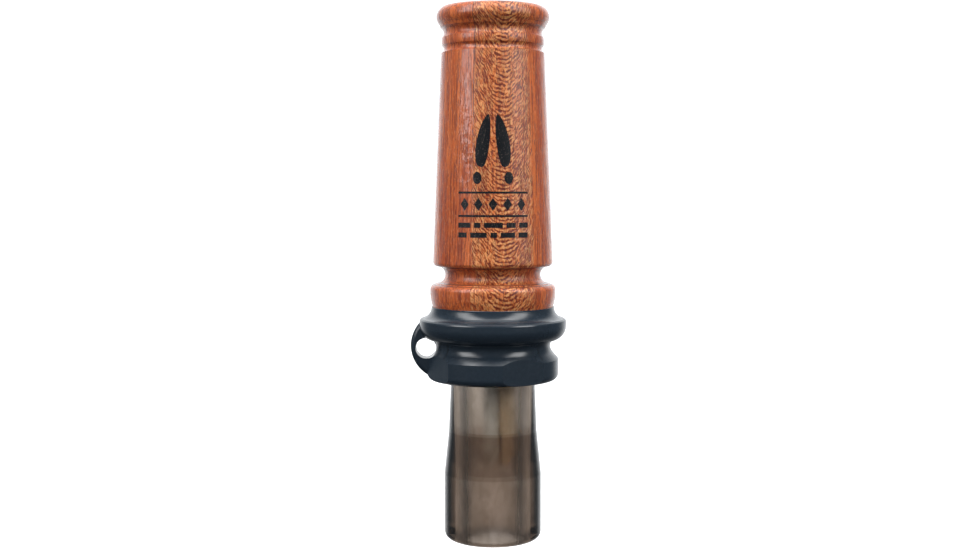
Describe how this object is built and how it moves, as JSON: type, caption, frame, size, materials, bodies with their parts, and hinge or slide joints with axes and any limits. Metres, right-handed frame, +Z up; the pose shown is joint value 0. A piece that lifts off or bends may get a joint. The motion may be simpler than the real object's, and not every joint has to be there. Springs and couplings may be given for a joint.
{
  "type": "grunt tube call",
  "caption": "Deer call: turned wooden barrel on a black collar with a lanyard lug, over a thick-walled smoke mouthpiece that holds a reed insert.",
  "frame": {"origin": "centre of the breath bore at the mouthpiece's end face, which the call stands on", "axes": "+Z up the call's axis towards the barrel's exhaust; the lanyard lug is on -X; -Y is the marked front"},
  "size_m": [0.0396, 0.0374, 0.1348],
  "materials": {
    "hardwood": "gloss lacquer",
    "black_plastic": "satin",
    "smoke_plastic": "clear smoke, polished",
    "o_ring": "matt",
    "tone_plastic": "semi-gloss",
    "cork": "granular",
    "reed_film": "translucent film",
    "ink": "pad-printed ink"
  },
  "bodies": {
    "collar": {"collar": "black_plastic", "barrel_o_ring_upper": "o_ring", "barrel_o_ring_lower": "o_ring"},
    "barrel": {"barrel": "hardwood"},
    "mouthpiece": {"mouthpiece": "smoke_plastic", "mouthpiece_o_ring": "o_ring"},
    "insert": {"tone_board": "tone_plastic", "reed_wedge": "cork"},
    "reed": {"reed": "reed_film"}
  },
  "joints": [
    {"name": "barrel_pull", "type": "slide", "parent": "collar", "child": "barrel", "axis": [0, 0, 1], "range_m": [0, 0.014]},
    {"name": "mouthpiece_pull", "type": "slide", "parent": "collar", "child": "mouthpiece", "axis": [0, 0, -1], "range_m": [0, 0.0095]},
    {"name": "insert_pull", "type": "slide", "parent": "collar", "child": "insert", "axis": [0, 0, -1], "range_m": [0, 0.012]},
    {"name": "reed_flex", "type": "hinge", "parent": "insert", "child": "reed", "pos_m": [-0.0006, -0.00032, 0.0468], "axis": [0.4695, -0.8829, 0], "range_deg": [-2, 2], "stiffness_Nm_per_rad": 0.002}
  ]
}
